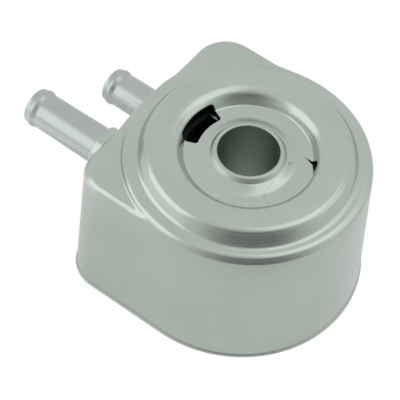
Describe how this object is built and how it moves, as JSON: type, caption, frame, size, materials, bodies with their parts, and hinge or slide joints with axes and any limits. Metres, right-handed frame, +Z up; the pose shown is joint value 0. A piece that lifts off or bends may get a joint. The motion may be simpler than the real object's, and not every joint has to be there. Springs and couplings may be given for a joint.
{
  "type": "engine_oil_cooler",
  "caption": "Plate type engine oil cooler: D-shaped drawn aluminium can on a base plate, raised filter seat ring, central bore, oil ports and beaded coolant stubs on the flat side",
  "frame": {"origin": "centre of the bottom of the whole cooler's bounding box, on the plane where the base plate meets the engine", "axes": "+Z up the bore from the engine face to the filter seat, -X from the body towards the stub tips, +Y towards the lower stub"},
  "size_m": [0.1318, 0.0976, 0.0662],
  "materials": {
    "can_aluminium": "satin, drawn and furnace brazed",
    "base_aluminium": "satin, stamped",
    "tube_aluminium": "smooth, drawn tube",
    "core_aluminium": "matt, brazed sheet",
    "fin_aluminium": "matt, rolled foil",
    "seal_rubber": "matt black"
  },
  "bodies": {
    "root": {"housing": "can_aluminium", "base_plate": "base_aluminium", "base_seal": "seal_rubber", "center_sleeve": "tube_aluminium", "upper_stub": "tube_aluminium", "lower_stub": "tube_aluminium", "core_cover": "core_aluminium", "cell_1_dish": "core_aluminium", "cell_1_insert": "fin_aluminium", "cell_1_lid": "core_aluminium", "cell_2_dish": "core_aluminium", "cell_2_insert": "fin_aluminium", "cell_2_lid": "core_aluminium", "cell_3_dish": "core_aluminium", "cell_3_insert": "fin_aluminium", "cell_3_lid": "core_aluminium", "cell_4_dish": "core_aluminium", "cell_4_insert": "fin_aluminium", "cell_4_lid": "core_aluminium", "cell_5_dish": "core_aluminium", "cell_5_insert": "fin_aluminium", "cell_5_lid": "core_aluminium", "cell_6_dish": "core_aluminium", "cell_6_insert": "fin_aluminium", "cell_6_lid": "core_aluminium"}
  },
  "joints": []
}
